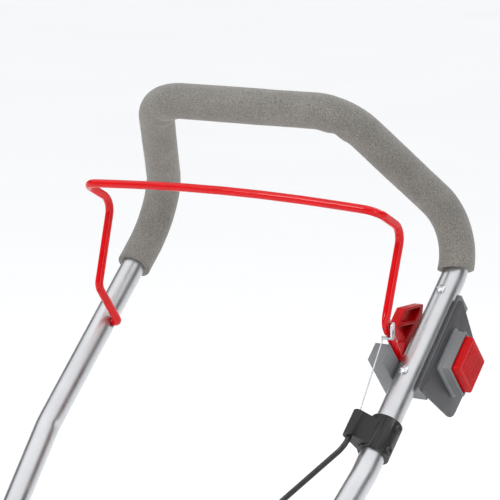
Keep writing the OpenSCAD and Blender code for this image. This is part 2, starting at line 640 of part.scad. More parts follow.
// ---- wheels ----
wheel_in = 228;
axle_r = 6;
module wheel_axles() color([0.75, 0.76, 0.78]) both() {
    x_bar(plate_in - 6, wheel_in + wheel_w + 2, axle_y, axle_z, axle_r);
    x_ring(plate_in + plate_t, wheel_in - 2, axle_y, axle_z, 11, axle_r);
    difference() {
        x_bar(plate_in - 7, plate_in - 0.1, axle_y, axle_z, 10);
        x_bar(plate_in - 10, plate_in + 1, axle_y, axle_z, axle_r);
    }
}
module tyre(s) color([0.10, 0.10, 0.10]) difference() {
    translate([s * wheel_in, axle_y, axle_z]) rotate([0, 90 * s, 0]) rotate_extrude($fn = 96)
        polygon(round_outline([[96, 0, 3], [axle_z - 0.01, 0, 9], [axle_z - 0.01, wheel_w, 9],
        [96, wheel_w, 3]]));
    // Tread grooves across the rim
    for (a = [0 : 15 : 345]) translate([s * (wheel_in + wheel_w / 2),
        axle_y + axle_z * cos(a + 7.5), axle_z + axle_z * sin(a + 7.5)])
        rotate([a + 7.5, 0, 0]) cube([wheel_w + 2, 5, 5], center = true);
}
module tyre_left() tyre(-1);
module tyre_right() tyre(1);
module rim(s) color([0.22, 0.22, 0.23]) difference() {
    translate([s * (wheel_in + 2), axle_y, axle_z]) rotate([0, 90 * s, 0]) union() {
        difference() {
            cylinder(r = 96, h = wheel_w - 4, $fn = 96);
            translate([0, 0, -1]) cylinder(r = 88, h = wheel_w, $fn = 96);
        }
        cylinder(r = 20, h = wheel_w - 6);
        for (a = [0 : 45 : 315]) rotate([0, 0, a]) translate([14, -2.5, 6])
            cube([78, 5, wheel_w - 20]);
        translate([0, 0, 12]) difference() {
            cylinder(r = 90, h = 4, $fn = 96);
            translate([0, 0, -1]) cylinder(r = 40, h = 6);
        }
    }
    x_bar(s * (wheel_in - 4), s * (wheel_in + wheel_w + 4), axle_y, axle_z, axle_r + 0.08);
}
module rim_left() rim(-1);
module rim_right() rim(1);
module hub_caps() color([0.70, 0.05, 0.05]) both() {
    x_bar(wheel_in + wheel_w + 2, wheel_in + wheel_w + 4, axle_y, axle_z, 17);
    x_bar(wheel_in + wheel_w + 2, wheel_in + wheel_w + 7, axle_y, axle_z, 12);
}

// ---- rear roller ----
module roller_arms() color([0.30, 0.30, 0.31]) both() difference() {
    union() {
        translate([198, 0, 0]) rotate([90, 0, 90]) linear_extrude(8) polygon(round_outline([
            [arm_y - 16, arm_z - 4, 12], [arm_y - 2, arm_z + 18, 12],
            [roller_y + 18, roller_z + 8, 12], [roller_y + 6, roller_z - 16, 12]]));
        x_bar(204, plate_in + plate_t, arm_y, arm_z, 4.94);
    }
    x_bar(190, 207, roller_y, roller_z, 5.02);
}
module roller_axle() color([0.75, 0.76, 0.78]) x_bar(-206, 206, roller_y, roller_z, 5);
module rear_roller() color([0.12, 0.12, 0.13]) difference() {
    union() {
        x_bar(-192, 192, roller_y, roller_z, roller_r());
        x_bar(-196, 196, roller_y, roller_z, 10);
    }
    x_bar(-200, 200, roller_y, roller_z, 5.08);
    for (x = [-168 : 24 : 168]) x_ring(x - 1.5, x + 1.5, roller_y, roller_z,
        roller_r() + 2, roller_r() - 2);
}
function roller_r() = roller_d / 2;

// ---- battery ----
battery_y0 = house_y0 + 16;
battery_y1 = house_y1 + 6;
module battery() color([0.15, 0.15, 0.16]) difference() {
    union() {
        translate([0, (battery_y0 + battery_y1) / 2, house_z1 + 3.4]) linear_extrude(40)
            polygon(rect_outline(80, battery_y1 - battery_y0, 6));
        translate([0, (battery_y0 + battery_y1) / 2, house_z1 + 43]) linear_extrude(8)
            polygon(rect_outline(66, battery_y1 - battery_y0 - 14, 6));
    }
    box_at(-14, 14, battery_y1 - 8, battery_y1 + 2, house_z1 + 22, house_z1 + 38);
}
module battery_button() color([0.75, 0.05, 0.05]) {
    box_at(-13.4, 13.4, battery_y1 - 4, battery_y1 + 1.5, house_z1 + 22.5, house_z1 + 37.5);
}

handle_tube();
foam_grip();
cable_clamp();
clamp_screws();
switch_housing();
switch_plate();
button_bezel();
switch_screws();
button_spring();
pull_wire();
bowden_upper();
bail();
cable_hook();
start_button();
lock_plunger();
lock_wedge();
fold_knob_left();
fold_knob_right();
lower_tubes();
handle_brace();
brace_clip();
knuckles();
fold_saddles();
fold_bolts();
bowden_lower();
side_plate_left();
side_plate_right();
rear_cross_tube();
handle_stop_bar();
front_tie_rod();
catcher_pins();
hood();
bed_bar();
bed_knife();
knife_screws();
motor_housing();
motor_cover();
motor();
frame_bolts();
wheel_axles();
reel_bearings();
belt_cover();
drive_belt();
motor_pulley();
motor_shaft();
reel_shaft();
reel_blades();
reel_spiders();
reel_pulley();
tyre_left();
rim_left();
tyre_right();
rim_right();
hub_caps();
roller_arms();
roller_axle();
rear_roller();
battery();
battery_button();
cable_gland();
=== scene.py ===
"""A battery reel mower, dressed on its CAD frame: foam, paint, moulded plastic and steel.

Lengths are metres in the row frame, and M is a millimetre. on_handle's numbers and bend
radii are millimetres, as in part.scad, and a size keeps the name it has there.
"""
import json
import math

import bpy
from mathutils import Matrix, Vector, noise

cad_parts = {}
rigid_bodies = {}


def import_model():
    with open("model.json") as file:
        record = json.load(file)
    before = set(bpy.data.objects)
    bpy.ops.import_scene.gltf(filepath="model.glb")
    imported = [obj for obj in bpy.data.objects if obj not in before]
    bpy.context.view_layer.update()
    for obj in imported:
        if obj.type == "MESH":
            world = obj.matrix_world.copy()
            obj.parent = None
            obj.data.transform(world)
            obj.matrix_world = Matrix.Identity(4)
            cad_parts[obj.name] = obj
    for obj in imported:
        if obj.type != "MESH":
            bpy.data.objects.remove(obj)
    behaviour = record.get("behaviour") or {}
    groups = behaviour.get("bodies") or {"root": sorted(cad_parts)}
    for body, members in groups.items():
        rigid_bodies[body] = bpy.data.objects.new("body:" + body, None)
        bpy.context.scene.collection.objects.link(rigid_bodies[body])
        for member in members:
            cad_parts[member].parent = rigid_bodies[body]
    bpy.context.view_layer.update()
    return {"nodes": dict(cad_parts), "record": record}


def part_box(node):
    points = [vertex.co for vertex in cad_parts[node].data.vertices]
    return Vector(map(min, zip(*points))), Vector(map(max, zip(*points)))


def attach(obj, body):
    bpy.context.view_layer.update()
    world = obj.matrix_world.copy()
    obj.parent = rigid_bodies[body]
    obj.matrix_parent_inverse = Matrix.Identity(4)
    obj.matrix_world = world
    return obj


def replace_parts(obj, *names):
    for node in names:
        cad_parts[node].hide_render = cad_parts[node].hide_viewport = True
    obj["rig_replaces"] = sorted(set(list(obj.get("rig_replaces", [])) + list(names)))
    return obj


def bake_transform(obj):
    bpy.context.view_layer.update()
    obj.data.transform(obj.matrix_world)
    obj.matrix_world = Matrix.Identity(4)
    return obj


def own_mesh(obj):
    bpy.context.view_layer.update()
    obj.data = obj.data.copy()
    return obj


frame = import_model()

M = 0.001
nodes = frame["nodes"]
joints = {j["name"]: j for j in frame["record"]["behaviour"]["joints"]}

# The handle's own frame: u runs up the tubes and n points to the mower's front
bail_pivot = Vector(joints["bail_pull"]["pos_m"])
tilt_pivot = Vector(joints["handle_tilt"]["pos_m"])
u_dir = (bail_pivot - tilt_pivot).normalized()
n_dir = Vector((0, -u_dir.z, u_dir.y))
x_dir = Vector((1, 0, 0))


def on_handle(x, u, n):
    """A point given in millimetres across, up and square to the handle."""
    return bail_pivot + M * (x * x_dir + u * u_dir + n * n_dir)


# ---------------------------------------------------------------- camera
CAM_AZIMUTH = math.radians(31.9)
CAM_ELEVATION = math.radians(10.16)
CAM_DISTANCE = 2.523
CAM_LENS = 180.5
AIM_LEFT, AIM_UP = 3.8 * M, 90.5 * M    # the aim, measured from the bail's pivot

towards = Vector((math.sin(CAM_AZIMUTH) * math.cos(CAM_ELEVATION),
                  -math.cos(CAM_AZIMUTH) * math.cos(CAM_ELEVATION),
                  math.sin(CAM_ELEVATION)))
right = Vector((math.cos(CAM_AZIMUTH), math.sin(CAM_AZIMUTH), 0))
upward = towards.cross(right)
aim = bail_pivot - AIM_LEFT * right + AIM_UP * upward
cam_data = bpy.data.cameras.new("camera")
cam_data.lens = CAM_LENS
cam_data.sensor_width = 36
cam_data.clip_end = 200
camera = bpy.data.objects.new("camera", cam_data)
bpy.context.collection.objects.link(camera)
camera.matrix_world = Matrix.Translation(aim + CAM_DISTANCE * towards) @ Matrix(
    (right, upward, towards)).transposed().to_4x4()
bpy.context.scene.camera = camera


# ---------------------------------------------------------------- materials
class Nodes:
    """A short way to build one material's node tree."""

    def __init__(self, name, **values):
        """values are the shader's own sockets, with _ for a space."""
        self.mat = bpy.data.materials.new(name)
        self.mat.use_nodes = True
        self.tree = self.mat.node_tree
        self.shader = self.tree.nodes["Principled BSDF"]
        for key, value in values.items():
            self.shader.inputs[key.replace("_", " ")].default_value = value
        self.place = self.tree.nodes.new("ShaderNodeTexCoord").outputs["Object"]

    def link(self, a, b):
        self.tree.links.new(a, b)

    def noise(self, scale, detail=3.0, rough=0.5, stretch=None):
        """Noise whose grain is about 1 / scale metres, stretched along an axis if asked."""
        n = self.tree.nodes.new("ShaderNodeTexNoise")
        n.inputs["Scale"].default_value = scale
        n.inputs["Detail"].default_value = detail
        n.inputs["Roughness"].default_value = rough
        self.link(self.stretched(stretch) if stretch else self.place, n.inputs["Vector"])
        return n.outputs["Fac"]

    def stretched(self, factors):
        """The object's coordinates, scaled by a factor along each axis."""
        m = self.tree.nodes.new("ShaderNodeMapping")
        m.inputs["Scale"].default_value = factors
        self.link(self.place, m.inputs["Vector"])
        return m.outputs["Vector"]

    def cells(self, scale):
        """Distance to the nearest of random cells about 1 / scale metres apart."""
        v = self.tree.nodes.new("ShaderNodeTexVoronoi")
        v.inputs["Scale"].default_value = scale
        self.link(self.place, v.inputs["Vector"])
        return v.outputs["Distance"]

    def ramp(self, source, stops):
        """A colour ramp through (position, colour) stops."""
        r = self.tree.nodes.new("ShaderNodeValToRGB")
        elements = r.color_ramp.elements
        while len(elements) < len(stops):
            elements.new(0.5)
        for e, (at, colour) in zip(elements, stops):
            e.position = at
            e.color = (*colour, 1)
        self.link(source, r.inputs["Fac"])
        return r.outputs["Color"]

    def levels(self, source, low, high, start=0.3, end=0.7):
        """source stretched from start..end to low..high."""
        n = self.tree.nodes.new("ShaderNodeMapRange")
        n.inputs["From Min"].default_value = start
        n.inputs["From Max"].default_value = end
        n.inputs["To Min"].default_value = low
        n.inputs["To Max"].default_value = high
        self.link(source, n.inputs["Value"])
        return n.outputs["Result"]

    def mix(self, factor, a, b, kind="MIX"):
        """Colours a and b, each a socket or a tuple, mixed by factor."""
        n = self.tree.nodes.new("ShaderNodeMix")
        n.data_type = "RGBA"
        n.blend_type = kind
        sockets = {i.name: i for i in n.inputs if i.enabled}
        for key, value in (("Factor", factor), ("A", a), ("B", b)):
            if isinstance(value, bpy.types.NodeSocket):
                self.link(value, sockets[key])
            elif isinstance(value, tuple):
                sockets[key].default_value = (*value, 1)
            else:
                sockets[key].default_value = value
        return [o for o in n.outputs if o.enabled][0]

    def maths(self, kind, a, b=0.0):
        """One math node; a and b are each a socket or a number."""
        n = self.tree.nodes.new("ShaderNodeMath")
        n.operation = kind
        for socket, value in zip(n.inputs, (a, b)):
            if isinstance(value, bpy.types.NodeSocket):
                self.link(value, socket)
            else:
                socket.default_value = value
        return n.outputs[0]

    def bump(self, height, distance, strength):
        """Raises the surface by height times distance metres."""
        n = self.tree.nodes.new("ShaderNodeBump")
        n.inputs["Distance"].default_value = distance
        n.inputs["Strength"].default_value = strength
        self.link(height, n.inputs["Height"])
        self.link(n.outputs["Normal"], self.shader.inputs["Normal"])

    def edges(self, radius=0.0012):
        """High on convex edges, where a part wears, and where the moulded plastics also get a
        painted highlight.
        """
        b = self.tree.nodes.new("ShaderNodeBevel")
        b.samples = 4
        b.inputs["Radius"].default_value = radius
        g = self.tree.nodes.new("ShaderNodeNewGeometry")
        dot = self.tree.nodes.new("ShaderNodeVectorMath")
        dot.operation = "DOT_PRODUCT"
        self.link(b.outputs["Normal"], dot.inputs[0])
        self.link(g.outputs["Normal"], dot.inputs[1])
        return self.levels(dot.outputs["Value"], 1.0, 0.0, start=0.75, end=0.99)

    def out(self, key, value):
        """Feeds value into the shader's socket of that name."""
        self.link(value, self.shader.inputs[key])


def satin_tube():
    """Silver satin tube: fine lengthways grain, soft cloudy roughness."""
    m = Nodes("satin_tube", Metallic=1.0)
    cloud = m.noise(22, 4)
    m.out("Base Color", m.ramp(cloud, [(0.3, (0.55, 0.555, 0.565)), (0.7, (0.62, 0.625, 0.635))]))
    grain = m.noise(900, 2, 0.6)
    m.out("Roughness", m.levels(m.noise(60, 4), 0.26, 0.36))
    m.bump(grain, 0.00002, 0.5)
    return m.mat


def grey_foam():
    """Closed-cell foam: fine open pores, a speckled colour, and painted shade that darkens the
    hollows.
    """
    m = Nodes("grey_foam", Roughness=0.95)
    m.shader.inputs["Specular IOR Level"].default_value = 0.22
    m.shader.inputs["Sheen Weight"].default_value = 0.25
    m.shader.inputs["Sheen Roughness"].default_value = 0.6
    speckle_and_pore_shade = m.noise(800, 4, 0.75)
    cloud = m.noise(45, 4)
    # A speckled colour whose dark end is painted shade in the pores, where the bump below sinks
    base = m.ramp(speckle_and_pore_shade, [(0.30, (0.080, 0.076, 0.067)), (0.5, (0.205, 0.196, 0.177)),
                            (0.72, (0.345, 0.333, 0.305))])
    tone = m.ramp(cloud, [(0.3, (0.88, 0.88, 0.88)), (0.7, (1.06, 1.05, 1.03))])
    m.out("Base Color", m.mix(1.0, base, tone, "MULTIPLY"))
    height = m.maths("ADD", m.maths("MULTIPLY", m.cells(1100), 0.7), speckle_and_pore_shade)
    m.bump(height, 0.00028, 0.75)
    return m.mat


def red_paint():
    """Thick gloss paint with a trace of orange peel and a few dull rubs."""
    m = Nodes("red_paint")
    m.shader.inputs["Specular IOR Level"].default_value = 0.2
    m.shader.inputs["Coat Weight"].default_value = 0.22
    m.shader.inputs["Coat Roughness"].default_value = 0.05
    m.out("Base Color", m.ramp(m.noise(30, 3), [(0.3, (0.58, 0.0005, 0.0030)),
                                                (0.7, (0.70, 0.0010, 0.0045))]))
    m.out("Roughness", m.levels(m.noise(90, 5), 0.12, 0.24))
    m.bump(m.noise(350, 2), 0.00006, 0.35)
    return m.mat


def moulded(name, colour, grain, depth, rough, spread=0.12, edge_pale=0.3, level=0.4):
    """Moulded plastic: fine spark-eroded texture, cloudy gloss and paler edges, partly rubbed wear
    and partly a painted highlight.

    The texture's grain is 1 / grain metres and depth metres deep. spread is how far the colour
    wanders, and level the specular level; the argument after spread says how far edges pale,
    partly with rubbed wear and partly with a painted highlight.
    """
    m = Nodes(name)
    m.shader.inputs["Specular IOR Level"].default_value = level
    low = tuple(c * (1 - spread) for c in colour)
    high = tuple(min(1, c * (1 + spread)) for c in colour)
    body = m.ramp(m.noise(35, 5), [(0.3, low), (0.7, high)])
    pale = tuple(min(1, c * 1.5 + 0.06) for c in colour)
    # Paler convex edges: partly rubbed wear, partly a painted highlight on the edges
    wear_and_edge_highlight = m.maths("MULTIPLY", m.edges(), m.levels(m.noise(160, 4), 0.25 * edge_pale, edge_pale))
    m.out("Base Color", m.mix(wear_and_edge_highlight, body, pale))
    m.out("Roughness", m.levels(m.noise(70, 4), rough - 0.06, rough + 0.08))
    m.bump(m.noise(grain, 3, 0.6), depth, 0.6)
    return m.mat


def zinc():
    """Bright zinc plate: spangle, a faint blue cast and fine scratches."""
    m = Nodes("zinc", Metallic=1.0)
    m.out("Base Color", m.ramp(m.cells(260), [(0.0, (0.58, 0.61, 0.65)),
                                              (0.6, (0.74, 0.76, 0.78))]))
    m.out("Roughness", m.levels(m.noise(300, 4), 0.18, 0.34))
    m.bump(m.noise(1600, 2), 0.00002, 0.4)
    return m.mat


def ground_steel():
    """Ground steel: grinding lines round the reel and a few rust-brown specks."""
    m = Nodes("ground_steel", Metallic=1.0)
    streak = m.noise(1.0, 4, 0.6, stretch=(30, 1500, 1500))
    tone = m.ramp(streak, [(0.3, (0.36, 0.36, 0.37)), (0.7, (0.58, 0.58, 0.60))])
    specks = m.levels(m.noise(140, 6, 0.7), 0.0, 0.5, start=0.64, end=0.74)
    m.out("Base Color", m.mix(specks, tone, (0.20, 0.11, 0.06)))
    m.out("Roughness", m.levels(streak, 0.24, 0.42))
    m.bump(streak, 0.00003, 0.5)
    return m.mat


def powder_coat():
    """Black powder coat over steel, with chipped bright edges."""
    m = Nodes("powder_coat")
    patches = m.levels(m.noise(240, 5), 0.0, 0.6, start=0.5, end=0.62)
    chips = m.maths("MULTIPLY", m.edges(0.0008), patches)
    body = m.ramp(m.noise(40, 4), [(0.3, (0.018, 0.018, 0.020)), (0.7, (0.030, 0.030, 0.033))])
    m.out("Base Color", m.mix(chips, body, (0.30, 0.30, 0.31)))
    m.out("Roughness", m.levels(m.noise(120, 4), 0.38, 0.52))
    m.bump(m.noise(1100, 3), 0.00009, 0.6)
    return m.mat


def tyre_rubber():
    """Matt tyre rubber with a bloom of dust in the hollows."""
    m = Nodes("tyre_rubber")
    m.shader.inputs["Specular IOR Level"].default_value = 0.3
    dust = m.levels(m.noise(26, 6, 0.65), 0.0, 0.35, start=0.45, end=0.75)
    body = m.ramp(m.noise(220, 4), [(0.3, (0.014, 0.014, 0.014)), (0.7, (0.026, 0.026, 0.025))])
    m.out("Base Color", m.mix(dust, body, (0.11, 0.10, 0.085)))
    m.out("Roughness", m.levels(m.noise(90, 4), 0.70, 0.88))
    m.bump(m.noise(900, 4), 0.00012, 0.6)
    return m.mat


def cable_sheath():
    """Extruded black sheath, a little glossier than the mouldings."""
    m = Nodes("cable_sheath")
    m.out("Base Color", m.ramp(m.noise(120, 4), [(0.3, (0.010, 0.010, 0.011)),
                                                 (0.7, (0.022, 0.022, 0.023))]))
    m.out("Roughness", m.levels(m.noise(200, 3), 0.28, 0.40))
    m.bump(m.noise(1500, 2), 0.00003, 0.4)
    return m.mat


def floor_paint():
    """Matt white floor, faintly lit from within so that it reads as pale in every view."""
    m = Nodes("floor", Roughness=0.75)
    m.shader.inputs["Emission Color"].default_value = (1, 1, 1, 1)
    m.shader.inputs["Emission Strength"].default_value = 0.1
    m.out("Base Color", m.ramp(m.noise(1.3, 3), [(0.3, (0.90, 0.90, 0.90)),
                                                 (0.7, (0.92, 0.92, 0.92))]))
    return m.mat


MATERIALS = {
    "satin_tube": satin_tube(),
    "grey_foam": grey_foam(),
    "red_paint": red_paint(),
    "red_plastic": moulded("red_plastic", (0.50, 0.0020, 0.0040), 1300, 0.00004, 0.34,
                           spread=0.08, edge_pale=0.03, level=0.16),
    "grey_plastic": moulded("grey_plastic", (0.190, 0.196, 0.202), 1500, 0.00006, 0.46),
    "dark_plastic": moulded("dark_plastic", (0.050, 0.050, 0.056), 1300, 0.00005, 0.40),
    "black_plastic": moulded("black_plastic", (0.012, 0.0115, 0.011), 1200, 0.00008, 0.38,
                             spread=0.2, edge_pale=0.18),
    "zinc": zinc(),
    "black_steel": powder_coat(),
    "blade_steel": ground_steel(),
    "cable_black": cable_sheath(),
    "tyre_rubber": tyre_rubber(),
}
SLOT_OF = {s["node"]: s["material_slot"] for s in frame["record"]["subparts"]}


def dress(obj, slot_name, smooth=True):
    """Gives obj its slot's material, and smooth shading unless told not to."""
    obj.data.materials.clear()
    obj.data.materials.append(MATERIALS[slot_name])
    if smooth:
        for p in obj.data.polygons:
            p.use_smooth = True


# ---------------------------------------------------------------- mesh helpers
BEND_STEPS = 28
PIPE_SIDES = 48


def mesh_object(name, verts, faces):
    mesh = bpy.data.meshes.new(name)
    mesh.from_pydata([tuple(v) for v in verts], [], faces)
    mesh.update()
    obj = bpy.data.objects.new(name, mesh)
    bpy.context.collection.objects.link(obj)
    return obj


def new_piece(name, verts, faces, body, slot_name, replaced, smooth=True):
    """A visible piece on a body (None for one left unattached), in place of the CAD nodes named.
    """
    obj = mesh_object(name, verts, faces)
    dress(obj, slot_name, smooth)
    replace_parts(obj, *replaced)
    if body:
        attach(obj, body)
    return obj


def lattice(rings, count, closed=False):
    """Quads between rings of count points each, and from the last to the first if closed."""
    faces = []
    for i in range(rings if closed else rings - 1):
        e = (i + 1) % rings
        for k in range(count):
            j = (k + 1) % count
            faces.append((i * count + k, i * count + j, e * count + j, e * count + k))
    return faces


def bend_points(a, b, c, radius, f1=1.0):
    """The bend of that radius at corner b, from its start to fraction f1 of it."""
    p, q = (a - b).normalized(), (c - b).normalized()
    angle = math.acos(p.dot(q))
    centre = b + (p + q).normalized() * radius / math.sin(angle / 2)
    e1 = (b + p * radius / math.tan(angle / 2) - centre).normalized()
    e2 = b + q * radius / math.tan(angle / 2) - centre
    e2 = (e2 - e1 * e2.dot(e1)).normalized()
    turn = math.pi - angle
    steps = [f1 * i / BEND_STEPS for i in range(BEND_STEPS + 1)]
    return [centre + radius * (e1 * math.cos(turn * t) + e2 * math.sin(turn * t)) for t in steps]


def route(corners):
    """A smooth path through (point, bend radius in mm); the ends have radius 0."""
    path = []
    for i, (point, radius) in enumerate(corners):
        if radius == 0:
            path.append(point)
        else:
            before, after = corners[i - 1][0], corners[i + 1][0]
            path += bend_points(before, point, after, radius * M)
    return path


def even(path, step):
    """The path again, with a point about every step metres."""
    out = [path[0]]
    for a, b in zip(path, path[1:]):
        n = max(1, round((b - a).length / step))
        out += [a.lerp(b, (i + 1) / n) for i in range(n)]
    return out


def frames(path, first):
    """Unit tangent, side and up at each point, with the side carried along unturned."""
    out = []
    side = first
    for i, p in enumerate(path):
        ahead = (path[min(i + 1, len(path) - 1)] - path[max(i - 1, 0)]).normalized()
        side = (side - ahead * side.dot(ahead)).normalized()
        out.append((ahead, side, ahead.cross(side)))
    return out


def swept(path, section, first, count):
    """Verts and faces of a solid section carried along a path.

    section(i, angle) gives (side, up) offsets in metres for ring i.
    """
    verts = []
    for i, (p, (t, s, u)) in enumerate(zip(path, frames(path, first))):
        for k in range(count):
            a, b = section(i, 2 * math.pi * k / count)
            verts.append(p + s * a + u * b)
    faces = lattice(len(path), count)
    faces.append(tuple(range(count - 1, -1, -1)))
    faces.append(tuple((len(path) - 1) * count + k for k in range(count)))
    return verts, faces


def round_section(radius):
    """A plain round section for swept."""
    return lambda i, a: (radius * math.cos(a), radius * math.sin(a))


def pipe(path, r_out, r_in, first):
    """Verts and faces of a hollow pipe with rounded rims."""
    rim = 0.4 * M
    tan = frames(path, first)
    rings = [(0, r_in, 0.0), (0, r_in + rim, 0.0), (0, r_out - rim, 0.0), (0, r_out, rim)]
    rings += [(i, r_out, 0.0) for i in range(1, len(path) - 1)]
    last = len(path) - 1
    rings += [(last, r_out, -rim), (last, r_out - rim, 0.0), (last, r_in + rim, 0.0),
              (last, r_in, 0.0)]
    rings += [(i, r_in, 0.0) for i in range(last - 1, 0, -1)]
    verts = []
    for i, r, shift in rings:
        t, s, u = tan[i]
        for k in range(PIPE_SIDES):
            a = 2 * math.pi * k / PIPE_SIDES
            verts.append(path[i] + t * shift + r * (s * math.cos(a) + u * math.sin(a)))
    return verts, lattice(len(rings), PIPE_SIDES, closed=True)


def round_edges(obj, width):
    """A bevel modifier that rounds obj's sharp edges."""
    bevel = obj.modifiers.new("bevel", "BEVEL")
    bevel.width = width
    bevel.segments = 2
    bevel.limit_method = "ANGLE"
    return bevel


def soften(obj, width):
    """A small rounded edge on a carried-over CAD node, and smooth shading between."""
    weld = obj.modifiers.new("weld", "WELD")
    weld.merge_threshold = 0.01 * M
    flat = obj.modifiers.new("flat", "DECIMATE")
    flat.decimate_type = "DISSOLVE"
    flat.angle_limit = math.radians(0.6)
    bevel = round_edges(obj, width)
    bevel.angle_limit = math.radians(38)
    bevel.use_clamp_overlap = True
    bevel.harden_normals = True


# ---------------------------------------------------------------- handle tube
tube_r, tube_wall = 12.5 * M, 1.6 * M
handle_half, fold_half, grip_half = 184, 150, 109.6
bend_u, top_u, grip_u, grip_n = -136, 160, 150, 185.6
fold_down = 470
tube_past_fold, low_bend_up = 28, 40
side_bend_r, top_bend_r, grip_bend_r = 110, 57, 48
TUBE_STEP = 6 * M


def tube_side(s):
    """Corners up one side: s is -1 for the left and 1 for the right."""
    return [(on_handle(s * fold_half, -fold_down - tube_past_fold, 0), 0),
            (on_handle(s * fold_half, -fold_down + low_bend_up, 0), side_bend_r),
            (on_handle(s * handle_half, bend_u, 0), side_bend_r)]


def top_loop(s):
    return [(on_handle(s * handle_half, top_u, 0), top_bend_r),
            (on_handle(s * grip_half, grip_u, grip_n), grip_bend_r)]


tube_path = even(route(tube_side(-1) + top_loop(-1) + top_loop(1)[::-1] + tube_side(1)[::-1]),
                 TUBE_STEP)
verts, faces = pipe(tube_path, tube_r, tube_r - tube_wall, x_dir)

# A shallow crimp on the inside of each lower bend, where the tube was bent
CRIMP_DEPTH, CRIMP_REACH, CRIMP_IN = 1.3 * M, 9 * M, 13
for s in (-1, 1):
    crimp = on_handle(s * (handle_half - CRIMP_IN), bend_u, 0)
    for i, v in enumerate(verts):
        gap = (v - crimp).length
        if gap < CRIMP_REACH:
            fall = (1 + math.cos(math.pi * gap / CRIMP_REACH)) / 2
            verts[i] = v + x_dir * s * CRIMP_DEPTH * fall
handle_pipe = new_piece("handle_pipe", verts, faces, "upper_handle", "satin_tube",
                        ["handle_tube"])

# ---------------------------------------------------------------- foam grip
foam_r = 18 * M
foam_low_u = 74         # the left end, on the straight
FOAM_LAST_BEND = 0.86   # the share of the right bend that the foam covers
FOAM_STEP, FOAM_SIDES = 2.2 * M, 72
END_ROUND = 0.8 * M
END_DISH = 0.8 * M      # how far an end face is hollowed towards the tube
TUBE_GAP = 0.15 * M
corner, grip_corner = top_loop(1)[0][0], top_loop(1)[1][0]
foam_path = route([(on_handle(-handle_half, foam_low_u, 0), 0)] + top_loop(-1) + top_loop(1)[1:]
                  + [(corner, 0)])[:-1]
foam_path += bend_points(grip_corner, corner, on_handle(handle_half, 0, 0), top_bend_r * M,
                         FOAM_LAST_BEND)
foam_path = even(foam_path, FOAM_STEP)
# Two more rings near each end, for its rounded lip
first, last = foam_path[0], foam_path[-1]
foam_path[1:1] = [first + (foam_path[1] - first).normalized() * END_ROUND * k for k in (0.3, 1)]
foam_path[-1:-1] = [last + (foam_path[-2] - last).normalized() * END_ROUND * k
                    for k in (1, 0.3)]
foam_len = [0.0]
for a, b in zip(foam_path, foam_path[1:]):
    foam_len.append(foam_len[-1] + (b - a).length)

# How the foam folds at the inside of the two top bends
CREASE_DEPTH, CREASE_WIDE = 1.5 * M, 4.5 * M
BULGE, BULGE_AT, BULGE_WIDE = 1.1 * M, 13 * M, 7 * M
loop_middle = on_handle(0, 90, 70)
bends = []
for s in (-1, 1):
    bend = on_handle(s * grip_half, grip_u, grip_n)
    at = min(range(len(foam_path)), key=lambda i: (foam_path[i] - bend).length)
    bends.append((foam_len[at], (loop_middle - bend).normalized()))


def crease(i, ray):
    """The inside of each top bend folds in, and bulges on either side of the fold."""
    out = 0.0
    for at, inward in bends:
        facing = max(0.0, ray.dot(inward)) ** 2
        gap = abs(foam_len[i] - at)
        out += facing * (BULGE * math.exp(-((gap - BULGE_AT) / BULGE_WIDE) ** 2)
                         - CREASE_DEPTH * math.exp(-(gap / CREASE_WIDE) ** 2))
    return out


SLANT, SLANT_REACH = 5 * M, 30 * M
bend_in = ((grip_corner - corner).normalized() - u_dir)
bend_in = (bend_in - u_dir * bend_in.dot(u_dir)).normalized()


def slant(i, ray):
    """Inside its bend the right end of the sleeve reaches further down the tube."""
    near = max(0.0, 1 - (foam_len[-1] - foam_len[i]) / SLANT_REACH)
    return SLANT * near * near * ray.dot(bend_in)


def foam_radius(i, place):
    """The foam swells and pinches a little, and rolls over at its ends."""
    run = min(foam_len[i], foam_len[-1] - foam_len[i])
    r = foam_r
    if run < END_ROUND:
        r -= END_ROUND - math.sqrt(END_ROUND ** 2 - (END_ROUND - run) ** 2)
    r += 0.45 * M * noise.noise(place * 16) + 0.16 * M * noise.noise(place * 70)
    return r


def foam_rays(i):
    """The directions straight out of the tube's middle at ring i."""
    t, s, u = foam_frames[i]
    turns = [2 * math.pi * k / FOAM_SIDES for k in range(FOAM_SIDES)]
    return [s * math.cos(a) + u * math.sin(a) for a in turns]


foam_frames = frames(foam_path, x_dir)
verts = []
for i, p in enumerate(foam_path):
    for ray in foam_rays(i):
        verts.append(p + ray * (foam_radius(i, p + ray * foam_r) + crease(i, ray))
                     + foam_frames[i][0] * slant(i, ray))
faces = lattice(len(foam_path), FOAM_SIDES)
for ring, back in ((0, 1), (len(foam_path) - 1, -1)):
    base = len(verts)
    for ray in foam_rays(ring):
        verts.append(foam_path[ring] + ray * (tube_r + TUBE_GAP) + foam_frames[ring][0]
                     * (back * END_DISH + slant(ring, ray) * tube_r / foam_r))
    for k in range(FOAM_SIDES):
        j = (k + 1) % FOAM_SIDES
        quad = (ring * FOAM_SIDES + k, base + k, base + j, ring * FOAM_SIDES + j)
        faces.append(quad if back == 1 else quad[::-1])

foam_grip = new_piece("grip_foam", verts, faces, "upper_handle", "grey_foam", ["foam_grip"])

# ---------------------------------------------------------------- bail
bail_half, bail_r = 165.5, 4.25 * M
elbow, arm_top, front_bar, bar_bow = (5.2, 53.2), (83, 99), (63, 149), 6.5
eye_x, eye_u, eye_n = bail_half + 3, 6.4, 46.5
bar_step, pivot_reach, pivot_bend_r = 44, 11, 4.5


def bail_side(s):
    """Corners up one arm of the bail, from the elbow to the front bar."""
    return [(on_handle(s * (bail_half + 2.5), *elbow), 12),
            (on_handle(s * (bail_half + 4.5), *arm_top), 18),
            (on_handle(s * (bail_half + 4), *front_bar), 16)]


